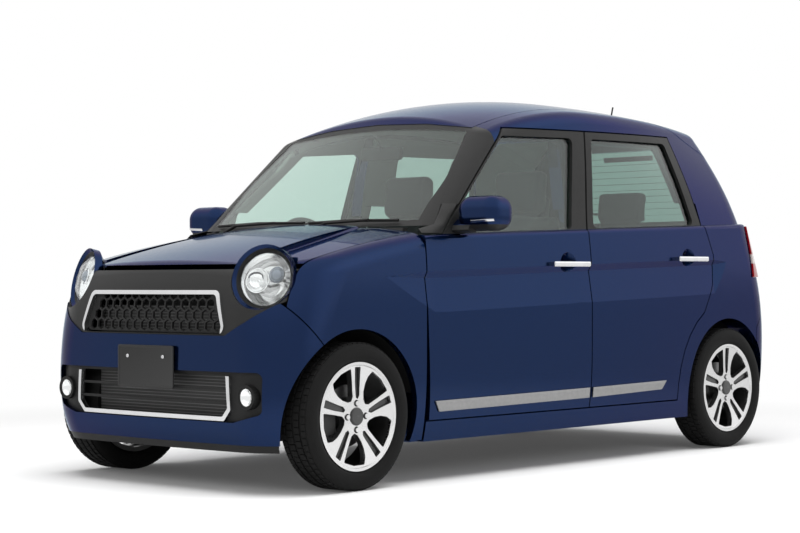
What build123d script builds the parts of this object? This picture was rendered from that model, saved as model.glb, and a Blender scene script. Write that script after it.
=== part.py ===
from build123d import *
import os
from functools import lru_cache
from math import cos, hypot, radians, sin, sqrt

# A small four-door kei car in millimetres: +X forward, +Y to the car's left, +Z up,
# origin on the ground under the middle of the car.

# Overall sizes
LENGTH = 3395.0
FRONT_AXLE_X = 1267.5
REAR_AXLE_X = -1252.5
TYRE_R = 281.0
TYRE_WIDTH = 165.0
TYRE_OUTER_Y = 735.0
RIM_LIP_R = 206.0
ARCH_R = 330.0
KINGPIN_Y = 615.0

# Panel thicknesses and gaps
GAP = 6.0
SEAT_GAP = 0.4
DOOR_T = 70.0
SASH_T = 42.0
SIDE_T = 115.0
RAIL_T = 62.0
SKIN_T = 28.0
ROOF_T = 30.0
GLASS_T = 5.0
BELT_FILLET = 20.0
HOOD_FILLET = 80.0
ROOF_FILLET = 70.0

# Belt line, door-top line and the split between the doors
BELT_Z = 1006.0
BELT_SLOPE = -0.0375
DOOR_TOP_Z = 1436.0
DOOR_TOP_SLOPE = -0.022
SILL_TOP_Z = 239.0
SPLIT_X = -170.0

# Hood and roof surfaces
HOOD_R = 5000.0
HOOD_CENTRE = (210.0, -3928.0)
HOOD_REAR_X = 885.0
HOOD_EDGE_Z = 858.0
HOOD_HALF = 645.0
ROOF_APEX = (-300.0, 1610.0)
ROOF_R_FRONT = 2100.0
ROOF_R_REAR = 8000.0
ROOF_R_SIDE = 2330.0
ROOF_HALF = 528.0
ROOF_REAR_X = -1345.0

# Lamps, openings and mirrors
LAMP = (1580.0, 536.0, 805.0)
LAMP_R = 101.0
LAMP_RIM_R = 128.0
LAMP_YAW = 20.0
LAMP_PITCH = 14.0
FOG = (1652.0, 535.0, 364.0)
FOG_R = 40.0
PLATE_BOLT_SPACING = 210.0
PLATE_BOLT_R = 3.5
FUEL_LID = (-1314.0, 910.0)
FUEL_LID_R = 67.0
HANDLE_Z = {"front": 861.0, "rear": 888.0}

# Character line along the side: its height at the middle, slope, depth and the heights of its two facets
CREASE_Z = 842.0
CREASE_SLOPE = -0.030
CREASE_DEPTH = 17.0
CREASE_UPPER = 14.0
CREASE_LOWER = 150.0
CREASE_STATIONS = ((1120, 0.05), (840, 1), (-100, 1), (-1130, 1), (-1270, 0.05))

# Wheels: heights outwards from the tyre's middle, spoke units and brake disc
SPOKE_UNITS = 5
FACE_BACK = 34.0
POCKET_FLOOR = 52.0
DISC_R = 118.0
DISC_HEIGHT = (-10.5, 5.5)
HUB_INNER_Y = 642.0
LUG_CIRCLE_R = 50.0
LUG_COUNT = 4
LINER_R = 345.0
LINER_T = 5.0
HEX_PITCH = 46.0

# Plan slices of the body below the belt, one row a height:
# height, front, rear, half width, widest place, then the radii of the front, the rear,
# the side, the front corner and the rear corner
LOWER_SLICES = (
    (150, 1650, -1650, 702, -100, 9000, 9000, 90000, 240, 200),
    (300, 1690, -1694, 728, -100, 9000, 9000, 90000, 240, 190),
    (450, 1692, -1697.5, 736, -100, 9000, 9000, 90000, 240, 185),
    (620, 1688, -1690, 737.5, -100, 7000, 8000, 90000, 265, 180),
    (760, 1670, -1668, 737.5, -100, 5000, 6000, 90000, 300, 180),
    (900, 1612, -1630, 732, -100, 3600, 5000, 80000, 330, 180),
    (1090, 1480, -1580, 716, -100, 3000, 4500, 60000, 340, 180),
)

# The same columns for the cabin above the belt
CABIN_SLICES = (
    (930, 943, -1600, 728, -150, 5000, 4500, 45000, 92, 180),
    (1110, 760, -1560, 694, -150, 4500, 4200, 22000, 94, 175),
    (1290, 577, -1505, 668, -150, 3800, 3800, 9000, 97, 170),
    (1470, 393, -1440, 637, -150, 3000, 3400, 4600, 100, 165),
    (1660, 200, -1350, 598, -150, 2500, 3000, 3200, 100, 160),
)


def belt(x):
    return BELT_Z + BELT_SLOPE * x


def door_top(x):
    return DOOR_TOP_Z + DOOR_TOP_SLOPE * x


def corner_centre(face, face_r, side, side_r, r, end):
    """Centre of a corner circle that lies inside an end arc and a side arc."""
    d0 = face_r - r
    d1 = side_r - r
    dx = side[0] - face[0]
    dy = side[1] - face[1]
    d = hypot(dx, dy)
    a = (d0 * d0 - d1 * d1 + d * d) / (2 * d)
    h = sqrt(d0 * d0 - a * a)
    mx = face[0] + a * dx / d
    my = face[1] + a * dy / d
    spots = [(mx - s * h * dy / d, my + s * h * dx / d) for s in (1, -1)]
    return max((p for p in spots if p[1] > 0), key=lambda p: end * p[0])


def unit(a, b):
    d = hypot(b[0] - a[0], b[1] - a[1])
    return ((b[0] - a[0]) / d, (b[1] - a[1]) / d)


def along(a, u, r):
    return (a[0] + u[0] * r, a[1] + u[1] * r)


def between(u, v):
    return unit((0, 0), (u[0] + v[0], u[1] + v[1]))


def slice_wire(row, inset):
    """One closed plan outline of eight arcs that meet smoothly, moved inwards by inset."""
    z, front, rear, half, widest, r_front, r_rear, r_side, r_fc, r_rc = row
    fc = max(r_fc - inset, 25)
    rc = max(r_rc - inset, 25)
    cf = (front - r_front, 0)
    cr = (rear + r_rear, 0)
    cs = (widest, half - r_side)
    pf = corner_centre(cf, r_front - inset, cs, r_side - inset, fc, 1)
    pr = corner_centre(cr, r_rear - inset, cs, r_side - inset, rc, -1)
    front_u = unit(cf, pf)
    side_f = unit(cs, pf)
    side_r = unit(cs, pr)
    rear_u = unit(cr, pr)
    left = (
        along(cf, front_u, r_front - inset),
        along(pf, between(front_u, side_f), fc),
        along(cs, side_f, r_side - inset),
        (widest, half - inset),
        along(cs, side_r, r_side - inset),
        along(pr, between(side_r, rear_u), rc),
        along(cr, rear_u, r_rear - inset),
    )
    path = list(left) + [(rear + inset, 0)]
    path += [(x, -y) for x, y in reversed(left)] + [(front - inset, 0)]
    spots = [Vector(x, y, z) for x, y in path + path[:1]]
    return Wire([ThreePointArc(*spots[i:i + 3]) for i in range(0, len(spots) - 2, 2)])


def loft_slices(rows, inset):
    return Solid.make_loft([slice_wire(row, inset) for row in rows], False)


def prism_x(points, x0, x1, r=0):
    """Solid through a front-view outline of (y, z) points."""
    wire = Wire.make_polygon([Vector(x0, y, z) for y, z in points])
    if r:
        wire = wire.fillet_2d(r, wire.vertices())
    return Solid.extrude(Face(wire), Vector(x1 - x0, 0, 0))


def prism_y(points, y0, y1, r=0):
    """Solid through a side-view outline of (x, z) points."""
    wire = Wire.make_polygon([Vector(x, y0, z) for x, z in points])
    if r:
        wire = wire.fillet_2d(r, wire.vertices())
    return Solid.extrude(Face(wire), Vector(0, y1 - y0, 0))


def prism_z(points, z0, z1, r=0):
    """Solid through a plan outline of (x, y) points."""
    wire = Wire.make_polygon([Vector(x, y, z0) for x, y in points])
    if r:
        wire = wire.fillet_2d(r, wire.vertices())
    return Solid.extrude(Face(wire), Vector(0, 0, z1 - z0))


def block(x0, x1, y0, y1, z0, z1):
    return Pos((x0 + x1) / 2, (y0 + y1) / 2, (z0 + z1) / 2) * Box(x1 - x0, y1 - y0, z1 - z0)


def behind(origin, normal):
    """Big solid on the side of a plane that its normal points away from."""
    big = Box(7000, 7000, 3500, align=(Align.CENTER, Align.CENTER, Align.MAX))
    return Plane(origin, z_dir=normal) * big


def rod(start, end, r):
    a = Vector(*start)
    b = Vector(*end)
    tube = Cylinder(r, (b - a).length, align=(Align.CENTER, Align.CENTER, Align.MIN))
    return Plane(a, z_dir=b - a) * tube


def flip(shape):
    return mirror(shape, Plane.XZ)


def both(shape):
    return [shape, flip(shape)]


def round_top(shape, edges, radius):
    return shape.solid().fillet(radius, edges)


@lru_cache(maxsize=None)
def lower(inset):
    return loft_slices(LOWER_SLICES, inset)


@lru_cache(maxsize=None)
def tub(inset):
    """Body up to the sloping belt line."""
    top = behind((0, 0, BELT_Z), (-BELT_SLOPE, 0, 1))
    shape = lower(inset) & top
    if inset > 0:
        return shape.solid()
    rim = shape.faces().sort_by(Axis.Z)[-1].edges()
    return round_top(shape, rim, BELT_FILLET)


@lru_cache(maxsize=None)
def nose(inset):
    """Front of the body under the crowned hood surface."""
    ball = Pos(HOOD_CENTRE[0], 0, HOOD_CENTRE[1]) * Sphere(HOOD_R - inset)
    shape = lower(inset) & ball & block(800, 1800, -1000, 1000, 0, 1200)
    crown = [f for f in shape.faces() if f.geom_type == GeomType.SPHERE][0]
    rim = [e for e in crown.edges() if e.center().X > 805]
    return round_top(shape, rim, max(HOOD_FILLET - inset, 15))


@lru_cache(maxsize=None)
def roof_block(inset):
    """Crowned roof in two swept parts that meet at its highest line."""
    x0, apex = ROOF_APEX
    half = 850.0
    top = apex - inset
    side_r = ROOF_R_SIDE - inset
    edge = top - side_r + sqrt(side_r ** 2 - half ** 2)
    parts = []
    for r, angle in ((ROOF_R_FRONT, 38), (ROOF_R_REAR, -14)):
        with BuildSketch(Plane.YZ.offset(x0)) as sketch:
            with BuildLine():
                ThreePointArc((-half, edge), (0, top), (half, edge))
                Polyline((half, edge), (half, 850), (-half, 850), (-half, edge))
            make_face()
        parts.append(revolve(sketch.sketch, Axis((x0, 0, apex - r), (0, 1, 0)), angle))
    return parts[0] + parts[1]


@lru_cache(maxsize=None)
def cabin(inset):
    """Glasshouse from below the belt to the roof."""
    shape = loft_slices(CABIN_SLICES, inset) & roof_block(inset)
    kinds = (GeomType.TORUS, GeomType.REVOLUTION)
    crown = [f for f in shape.faces() if f.geom_type in kinds]
    edges = [e for f in crown for e in f.edges()]
    rim = [e for e in edges if abs(e.center().X - ROOF_APEX[0]) > 5 or abs(e.center().Y) > 300]
    return round_top(shape, rim, max(ROOF_FILLET - inset, 15))


def panel(envelope, outer, inner, zone):
    """Skin between two insets of an envelope, inside a zone."""
    return (envelope(outer) & zone) - envelope(inner)


# Side-view outlines; grow makes each one larger all round
def front_door_outline(grow):
    return [
        (882 + grow, 1100), (884 + grow, 720), (861 + grow, SILL_TOP_Z + GAP - grow),
        (-500, SILL_TOP_Z + GAP - grow), (-500, 1100),
    ]


def rear_door_outline(grow):
    reach = 418 - grow
    foot = SILL_TOP_Z + GAP - grow
    turns = [radians(a) for a in range(5, 61, 11)]
    sweep = [(REAR_AXLE_X + reach * cos(a), TYRE_R + reach * sin(a)) for a in turns]
    corner = (REAR_AXLE_X + reach * cos(radians(-6)), foot)
    top = [(-1118, 770), (-1131, 850), (-1128, 910), (-1080, 1040), (-1066, 1150)]
    return [(300, 1150), (300, foot), corner] + sweep + [(x - grow, z) for x, z in top]


def front_sash_outline(grow):
    return [
        (800 + grow, 920), (775 + 1.4 * grow, 968), (283 + grow, door_top(283) + grow),
        (-500, door_top(-500) + grow), (-500, 920),
    ]


def rear_sash_outline(grow):
    return [
        (300, 920), (300, door_top(300) + grow), (-985 - grow, door_top(-985) + grow),
        (-1078 - grow, 1045), (-1090 - grow, 920),
    ]


FRONT_WINDOW = [
    (650, belt(650) + 3), (634, 1090), (306, door_top(306) - 32), (-152, door_top(-152) - 30),
    (-66, belt(-66) + 3),
]
REAR_WINDOW = [
    (-222, belt(-222) + 3), (-288, door_top(-288) - 30), (-925, door_top(-925) - 30),
    (-1018, belt(-1018) + 3),
]


def split(offset):
    """Everything ahead of the slanted plane between the doors below the belt."""
    return behind((SPLIT_X + offset, 737, 600), (-1, -0.2, 0))


def sash_split(offset):
    return behind((SPLIT_X + offset, 722, 1010), (-1, -0.2, -0.2))


def front_door_zone(grow):
    lower_part = prism_y(front_door_outline(grow), 500, 900) & split(-grow)
    upper_part = prism_y(front_sash_outline(grow), 556 - grow, 900) & sash_split(-grow)
    return lower_part, upper_part & ABOVE_BELT


def rear_door_zone(grow):
    lower_part = prism_y(rear_door_outline(grow), 500, 900) - split(-GAP + grow)
    upper_part = prism_y(rear_sash_outline(grow), 536 - grow, 900) - sash_split(-2 * GAP + grow)
    return lower_part, upper_part & ABOVE_BELT


ABOVE_BELT = block(-2000, 2000, -1200, 1200, 0, 2000) - behind((0, 0, BELT_Z - 20), (-BELT_SLOPE, 0, 1))
WINDSCREEN = [
    (-676, 1012), (676, 1012), (531, 1433), (280, 1462), (0, 1473), (-280, 1462), (-531, 1433),
]
TAIL_WINDOW = prism_x([(-470, 1085), (470, 1085), (415, 1440), (-415, 1440)], -2000, -1300, 40)


def tailgate_zone(grow):
    right = [(570 + grow, 590 - grow), (585 + grow, 1000), (512 + grow, 1440), (474 + grow, 1660)]
    left = [(-y, z) for y, z in reversed(right)]
    return prism_x(right + left, -2000, ROOF_REAR_X - GAP + grow)


def windscreen_zone(grow):
    k = 1 + grow / 640
    return prism_x([(y * k, z + (grow if z > 1200 else -grow)) for y, z in WINDSCREEN], 150, 1500)


def arch_cut(x, r, y0=380, y1=900):
    return Pos(x, (y0 + y1) / 2, TYRE_R) * Rot(90, 0, 0) * Cylinder(r, y1 - y0)


def lamp_place():
    lift = cos(radians(LAMP_PITCH))
    aim = (lift * cos(radians(LAMP_YAW)), lift * sin(radians(LAMP_YAW)), sin(radians(LAMP_PITCH)))
    return Plane(LAMP, z_dir=aim)


def lamp_cut(r):
    return lamp_place() * (Pos(0, 0, 40) * Cylinder(r, 260))


def revolved(points, place):
    """Turn a half outline of (radius, height) points about a place's Z axis."""
    face = Face(Wire.make_polygon([Vector(r, 0, h) for r, h in points]))
    return place * revolve(face, Axis.Z, 360)


def side_y(x):
    """Widest half width of the body at a place along it."""
    return 737.5 - (x + 100) ** 2 / 180000


def crease_wire(x, share):
    """Section of the character line's cut, with its depth times share."""
    y = side_y(x)
    z = CREASE_Z + CREASE_SLOPE * x
    top = z + CREASE_UPPER * share
    foot = z - CREASE_LOWER * share
    spots = [(y - 2.5, top), (y - CREASE_DEPTH * share, z - CREASE_UPPER * share)]
    spots += [(y + 0.6, foot), (y + 40, foot), (y + 40, top)]
    return Wire.make_polygon([Vector(x, a, b) for a, b in spots])


def hood_z(x, y):
    return sqrt(HOOD_R ** 2 - (x - HOOD_CENTRE[0]) ** 2 - y * y) + HOOD_CENTRE[1]


def hood_crease_wire(x, y):
    """Section of the cut beside the hood's raised middle."""
    spots = [(y, hood_z(x, y) + 0.4), (y + 16, hood_z(x, y + 16) - 6), (y + 130, hood_z(x, y + 130) + 0.4)]
    spots += [(y + 130, hood_z(x, 0) + 60), (y, hood_z(x, 0) + 60)]
    return Wire.make_polygon([Vector(x, a, b) for a, b in spots])


def spot_on_wheel(r, degrees):
    """Place on the left wheel's face, turned from the top towards the car's rear."""
    return (-r * sin(radians(degrees)), r * cos(radians(degrees)))


def wheel_cut(points, inner, turn, r):
    return prism_y([spot_on_wheel(a, b + turn) for a, b in points], inner, inner + 200, r)


CREASE = Solid.make_loft([crease_wire(x, share) for x, share in CREASE_STATIONS], True)
nodes = {}

# Doors: panel below the belt, window frame above it, glass, handle
for name, zone, window in (("front", front_door_zone, FRONT_WINDOW), ("rear", rear_door_zone, REAR_WINDOW)):
    lower_zone, upper_zone = zone(0)
    opening = prism_y(window, 500, 900, 24)
    frame = panel(cabin, 0, SASH_T, upper_zone) - opening
    middle = -11 if name == "front" else -923
    scoop = Pos(middle, side_y(middle) + 70, HANDLE_Z[name] - 2) * Sphere(93)
    nodes["door_" + name] = (panel(tub, 0, DOOR_T, lower_zone) - CREASE - scoop) + frame
    nodes["glass_" + name] = panel(cabin, 14, 14 + GLASS_T, opening)

for name, x0, x1 in (("front", -136, 114), ("rear", -1041, -806)):
    low = HANDLE_Z[name] - 12
    grip = fillet(block(x0, x1, 747, 763, low, low + 24).edges(), 7)
    for foot in (x0 + 18, x1 - 18):
        grip += block(foot - 12, foot + 12, 700, 755, low + 3, low + 21)
    nodes["handle_" + name] = grip - nodes["door_" + name] - tub(DOOR_T - 20)

mirror_head = Pos(632, 815, 1060) * fillet(Box(150, 212, 140).edges(), 58)
mirror_head -= block(500, 586, 600, 1000, 900, 1200)
mirror_foot = prism_y([(712, 990), (660, 984), (640, 1012), (660, 1040), (696, 1016)], 680, 790, 5)
nodes["door_mirror"] = (mirror_head + mirror_foot) - cabin(0) - tub(0)

# Body side: sill, pillars, roof rail and rear quarter in one pressing
side = panel(tub, 0, SIDE_T, block(-1600, 878, 400, 900, 160, 1200))
side += panel(tub, SKIN_T + SEAT_GAP, SIDE_T, block(870, 930, 400, 900, 160, 880))
rail_zone = block(-1700, 830, ROOF_HALF + 4, 900, 900, 1700) & ABOVE_BELT
flange_zone = block(-1330, 380, ROOF_HALF - 26, ROOF_HALF + 6, 1300, 1700)
pillar_zone = prism_y([(-60, 900), (-300, 900), (-360, 1470), (-130, 1470)], 520, 900) & ABOVE_BELT
rails = panel(cabin, 0, RAIL_T, rail_zone) + panel(cabin, ROOF_T + SEAT_GAP, RAIL_T, flange_zone)
side += rails + panel(cabin, SASH_T + 8, SIDE_T, pillar_zone)
for zone in (front_door_zone, rear_door_zone):
    lower_zone, upper_zone = zone(GAP)
    side -= lower_zone - tub(DOOR_T + 8)
    side -= upper_zone - cabin(SASH_T + 8)
front_way = [(812, 300), (812, 890), (590, 1100), (280, 1366), (-110, 1395), (-80, 300)]
rear_way = [(-285, 300), (-320, 1395), (-900, 1400), (-1000, 1100), (-1000, 820), (-800, 600), (-760, 300)]
side -= prism_y(front_way, 300, 1000, 40)
side -= prism_y(rear_way, 300, 1000, 40)
side -= arch_cut(REAR_AXLE_X, ARCH_R - 2)
side -= windscreen_zone(SEAT_GAP) - cabin(40)
side -= windscreen_zone(-50)
side -= tailgate_zone(GAP)
rear_wrap = [(-1900, 100), (-1502, 100), (-1502, 560), (-1548, 606), (-1548, 796), (-1900, 796)]
side -= prism_y([(x + 3, z + 3) for x, z in rear_wrap], -900, 900)
side -= prism_x([(590, 804), (760, 804), (760, 1050), (590, 1050)], -1900, -1470) - tub(30 + SEAT_GAP)
for x in (200, -560):
    side += panel(tub, DOOR_T + 0.6, DOOR_T + 20, block(x - 30, x + 30, 500, 900, 262, 290))
side -= CREASE
side -= block(860, 882, 690, 900, SILL_TOP_Z, 1100)
lid_place = Pos(FUEL_LID[0], 740, FUEL_LID[1]) * Rot(90, 0, 0)
nodes["body_side_right"] = flip(side)
lid_groove = Cylinder(FUEL_LID_R + 1.5, 24) - Cylinder(FUEL_LID_R - 1.5, 24)
nodes["body_side_left"] = side - lid_place * lid_groove
lamp_zone = prism_x([(590.5, 804.5), (760, 804.5), (760, 1049.5), (590.5, 1049.5)], -1900, -1470.5)
nodes["tail_lamp"] = panel(tub, -9, 30, lamp_zone)

roof_zone = block(ROOF_REAR_X, 700, -ROOF_HALF, ROOF_HALF, 1380, 1700) - windscreen_zone(SEAT_GAP)
nodes["roof_panel"] = panel(cabin, 0, ROOF_T, roof_zone)
nodes["windscreen"] = panel(cabin, 3, 3 + GLASS_T, windscreen_zone(0))
gate = panel(tub, 0, 60, tailgate_zone(0)) + panel(cabin, 0, 50, tailgate_zone(0) & ABOVE_BELT)
spoiler = roof_block(0) & block(ROOF_REAR_X - 120, ROOF_REAR_X - GAP, -470, 470, 1400, 1600)
nodes["tailgate"] = (gate - TAIL_WINDOW) + (spoiler - roof_block(24))
nodes["tailgate_glass"] = panel(cabin, 8, 8 + GLASS_T, TAIL_WINDOW)

rear_arches = arch_cut(REAR_AXLE_X, ARCH_R) + flip(arch_cut(REAR_AXLE_X, ARCH_R))
front_arches = arch_cut(FRONT_AXLE_X, ARCH_R) + flip(arch_cut(FRONT_AXLE_X, ARCH_R))
bumper_zone = prism_y(rear_wrap, -900, 900) & block(-1800, -1300, -900, 900, 185, 796)
nodes["rear_bumper"] = panel(tub, 0, 40, bumper_zone - tailgate_zone(GAP) - rear_arches)

# Front panels
hood_plan = [(HOOD_REAR_X, 652), (1500, HOOD_HALF), (1900, HOOD_HALF)]
hood_plan += [(x, -y) for x, y in reversed(hood_plan)]
hood_gap = [(HOOD_REAR_X - GAP, 658), (1500, HOOD_HALF + GAP), (1900, HOOD_HALF + GAP)]
hood_gap = prism_z(hood_gap + [(x, -y) for x, y in reversed(hood_gap)], 690, 1300)
lamps = lamp_cut(LAMP_RIM_R + SEAT_GAP)
lamps += flip(lamps)
hood_lamps = lamp_cut(LAMP_RIM_R + GAP)
hood_zone = prism_z(hood_plan, HOOD_EDGE_Z, 1300) - hood_lamps - flip(hood_lamps)
hood_crease = Solid.make_loft([hood_crease_wire(880, 345), hood_crease_wire(1640, 425)], True)
nodes["hood"] = panel(nose, 0, 24, hood_zone) - hood_crease - flip(hood_crease)

wrap = behind((1451 - 3, 0, 556), (0.76, 0, -0.656))
wrap_front = behind((1451 + 3, 0, 556), (0.76, 0, -0.656))
fender_zone = (block(890, 1900, 300, 900, 168, 1200) & wrap) - hood_gap - lamps - front_arches
nodes["fender"] = panel(nose, 0, SKIN_T, fender_zone) - CREASE

smile = [(800, 60), (800, 742), (650, 722), (520, 640), (425, 590)]
smile += [(-y, z) for y, z in reversed(smile)]
lower_mouth = [(602, 456), (596, 302), (470, 268), (-470, 268), (-596, 302), (-602, 456)]
front_zone = (block(1300, 1900, -900, 900, 184, 1200) - wrap_front) & prism_x(smile, 1000, 2000)
front_zone = front_zone - prism_x(lower_mouth, 1000, 2000, 26) - front_arches - lamps
bumper = panel(nose, 0, SKIN_T, front_zone)
bumper += block(1660, LENGTH / 2, -150, 150, 470, 540) - nose(SKIN_T)
for y in (-PLATE_BOLT_SPACING / 2, PLATE_BOLT_SPACING / 2):
    bumper -= Pos(LENGTH / 2, y, 505) * Rot(0, 90, 0) * Cylinder(PLATE_BOLT_R, 40)
nodes["front_bumper"] = bumper

trim_out = [(-432, 594), (432, 594), (378, 760), (-378, 760)]
trim_out = prism_x(trim_out, 1400, 2000, 30)
grille_mouth = prism_x([(-417, 600), (417, 600), (364, 744), (-364, 744)], 1400, 2000, 22)
face_edge = [(644, 719), (520, 640.6), (425, 590.6)]
face_edge = [(644, 838)] + face_edge + [(-y, z) for y, z in reversed(face_edge)] + [(-644, 838)]
face = panel(nose, 4, SKIN_T, prism_x(face_edge, 1300, 2000) - lamps - trim_out)
nodes["face_panel"] = face.solids().sort_by(SortBy.VOLUME)[-1]
trim_zone = trim_out - grille_mouth - block(1300, 2000, -405, 405, 560, 612)
mouth_in = [(430, 444), (438, 320), (408, 288), (-408, 288), (-438, 320), (-430, 444)]
mouth_in = prism_x(mouth_in, 1300, 2000, 12)
mouth_out = [(446, 458), (454, 314), (416, 272), (-416, 272), (-454, 314), (-446, 458)]
mouth_out = prism_x(mouth_out, 1300, 2000, 14)
chin_zone = mouth_out - mouth_in - block(1200, 2100, -900, 900, 440, 500)
nodes["bright_trim"] = [panel(nose, -3, 18, trim_zone), panel(nose, 6, 20, chin_zone)]

hexes = []
for row in range(4):
    for col in range(-9, 10):
        y = (col + 0.5 * (row % 2)) * HEX_PITCH
        z = 625 + row * HEX_PITCH * 0.87
        if abs(y) < 396 - (z - 600) * 0.37:
            place = Plane((1400, y, z), x_dir=(0, 0, 1), z_dir=(1, 0, 0))
            hexes.append(place * extrude(RegularPolygon(HEX_PITCH / 2 - 1, 6), 500))
mesh = panel(nose, 18.4, SKIN_T, grille_mouth) - hexes
mouth = [(601.6, 455.6), (595.6, 302.4), (469.8, 268.4), (-469.8, 268.4), (-595.6, 302.4), (-601.6, 455.6)]
mouth = prism_x(mouth, 1300, 2000, 26) - mouth_in
for y in (FOG[1], -FOG[1]):
    mouth -= Pos(1600, y, FOG[2]) * Rot(0, 90, 0) * Cylinder(FOG_R + 6, 400)
for z in (340, 393):
    mouth += block(1300, 2000, -445, 445, z - 5, z + 5)
insert = panel(nose, 20, SKIN_T, mouth)
lip_zone = block(1330, 2000, -900, 900, 156, 183.6) - front_arches
nodes["grilles"] = [mesh, insert, panel(nose, 4, SKIN_T, lip_zone)]

bowl = [(0, -66), (60, -60), (LAMP_R, -22), (LAMP_RIM_R, 6)]
bowl += [(LAMP_RIM_R, -26), (LAMP_R, -50), (60, -86), (0, -90)]
lens = [(0, 22), (35, 19.4), (66, 11.4), (LAMP_R - 5, -6), (LAMP_R, -21.6)]
lens += [(LAMP_R - 7, -21.6), (66, 6), (0, 17)]
fog_at = Pos(*FOG) * Rot(0, 90, 0)
fog_bowl = fog_at * (Cylinder(FOG_R + 5.5, 40) - Pos(0, 0, 10) * Cylinder(FOG_R, 40))
fog_lens = fog_at * (Pos(0, 0, -2) * Cylinder(FOG_R - SEAT_GAP, 14))
nodes["lamp_bowls"] = both(revolved(bowl, lamp_place())) + both(fog_bowl)
nodes["lamp_lenses"] = both(revolved(lens, lamp_place())) + both(fog_lens)

radiator = block(1560, 1600, -400, 400, 178, 700)
for y in (-300, 300):
    radiator += block(1590, 1800, y - 20, y + 20, 520, 560) & nose(SKIN_T + SEAT_GAP)
nodes["radiator"] = radiator
nodes["engine_block"] = fillet(block(1010, 1500, -330, 330, 225.4, 780).edges(), 20)
cowl = [(832, 930), (904.6, 930), (904.6, 955), (874, 960), (874, 985), (866, 1004), (832, 1004)]
nodes["cowl"] = prism_y(cowl, -585, 585) - cabin(-3)
cowl_line = [(800, 900), (905, 900), (905, 955.4), (874.4, 960.4)]
cowl_line += [(874.4, 985.2), (866.4, 1004.4), (800, 1004.4)]
cowl_skin = prism_y(cowl_line, -600, 600)
wipers = []
for pivot, start, end in ((-470, -560, 10), (80, 40, 520)):
    elbow = (856, pivot + 60, 1032)
    arm = rod((868, pivot, 1004.4), elbow, 7) + rod(elbow, (852, pivot + 300, 1040), 6)
    blade = rod((852 - start * start / 9000, start, 1034), (852, (start + end) / 2, 1040), 6)
    blade += rod((852, (start + end) / 2, 1040), (852 - end * end / 9000, end, 1036), 6)
    wipers.append((arm + blade) - cowl_skin)
nodes["wipers"] = wipers

# Inside
floor = block(-930, 930, -650, 650, 175, 203) + block(905, 930, -650, 650, 175, 946)
floor += block(-930, -905, -650, 650, 175, 380) + block(-1600, -905, -420, 420, 355, 380)
floor += block(-1600, -1575, -420, 420, 355, 570)
floor = floor & tub(SIDE_T + SEAT_GAP)
for y in (-500, 500):
    floor += block(905, 930, y - 20, y + 20, 940, 1040) & nose(24.6)
    floor += block(-1700, -1580, y * 0.8 - 20, y * 0.8 + 20, 500, 640) & tub(60.6)
nodes["floor_pan"] = floor
dash = [(904.6, 640), (904.6, 926), (828, 926), (826, 985), (700, 985), (610, 950), (590, 880)]
dash += [(640, 780), (690, 640)]
dash = prism_y(dash, -590, 590) & tub(SIDE_T + SEAT_GAP)
dash -= block(500, 1000, -900, 900, 926, 1100) - cabin(RAIL_T + SEAT_GAP)
column = Plane((470, -330, 900), z_dir=(-0.9, 0, 0.43))
nodes["dashboard"] = dash + column * (Pos(0, 0, -95.5) * Cylinder(36, 160))
spokes = Box(330, 34, 16) + Pos(0, -80, 0) * Box(34, 150, 16) + Cylinder(55, 30)
nodes["steering_wheel"] = column * (Torus(178, 14) + spokes)

seat = [(500, 300), (505, 520), (60, 545), (-120, 1080), (-190, 1075), (-70, 420), (0, 300)]
head = [(-125, 1100), (-140, 1290), (-230, 1285), (-210, 1095)]
seat = prism_y(seat, 115, 565, 30) + prism_y(head, 220, 460, 30)
for y in (300, 380):
    seat += rod((-170, y, 1060), (-172, y, 1120), 8)
seat += block(20, 460, 170, 220, 203, 310) + block(20, 460, 460, 510, 203, 310)
nodes["front_seats"] = both(seat)
bench = [(-420, 300), (-410, 520), (-820, 545), (-960, 1060), (-1020, 1055), (-900, 420), (-900, 300)]
bench = prism_y(bench, -560, 560, 30) + block(-880, -450, -500, 500, 203, 310)
head = [(-965, 1080), (-975, 1220), (-1050, 1215), (-1030, 1075)]
for y in (-290, 290):
    bench += prism_y(head, y - 120, y + 120, 25)
    for post in (y - 50, y + 50):
        bench += rod((-1000, post, 1040), (-1005, post, 1100), 8)
nodes["rear_seat"] = bench

# Running gear
sub = block(1150, 1330, -340, 340, 170, 225)
for y in (-250, 250):
    sub += block(930.4, 1559.6, y - 20, y + 20, 178, 222)
for k in (1, -1):
    sub += rod((FRONT_AXLE_X, 330 * k, 190), (FRONT_AXLE_X, (KINGPIN_Y - 7) * k, 190), 15)
    sub += rod((FRONT_AXLE_X, 505 * k, 190), (FRONT_AXLE_X, 500 * k, TYRE_R + LINER_R - 0.6), 22)
    sub += Pos(FRONT_AXLE_X, KINGPIN_Y * k, 190) * Cylinder(22, 40)
nodes["front_suspension"] = sub
beam = rod((-1060, -520, 252), (-1060, 520, 252), 30)
stub = rod((REAR_AXLE_X, 530, TYRE_R), (REAR_AXLE_X, HUB_INNER_Y - 0.5, TYRE_R), 40)
trail = rod((-880, 500, 260), (REAR_AXLE_X, 530, TYRE_R), 26) + stub
nodes["rear_axle"] = (beam + trail + flip(trail)) - block(-930.4, -800, -900, 900, 100, 500)
bends = [(900, -120, 154.6), (-960, -120, 154.6), (-1360, -300, 250), (-1580, -300, 250)]
bends += [(-1612, -300, 128), (-1690, -300, 126)]
exhaust = rod(bends[2], bends[3], 66)
for start, end in zip(bends, bends[1:]):
    exhaust += rod(start, end, 20) + Pos(*start) * Sphere(20)
nodes["exhaust"] = exhaust - block(880, 1000, -200, 0, 100, 300)

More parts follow.
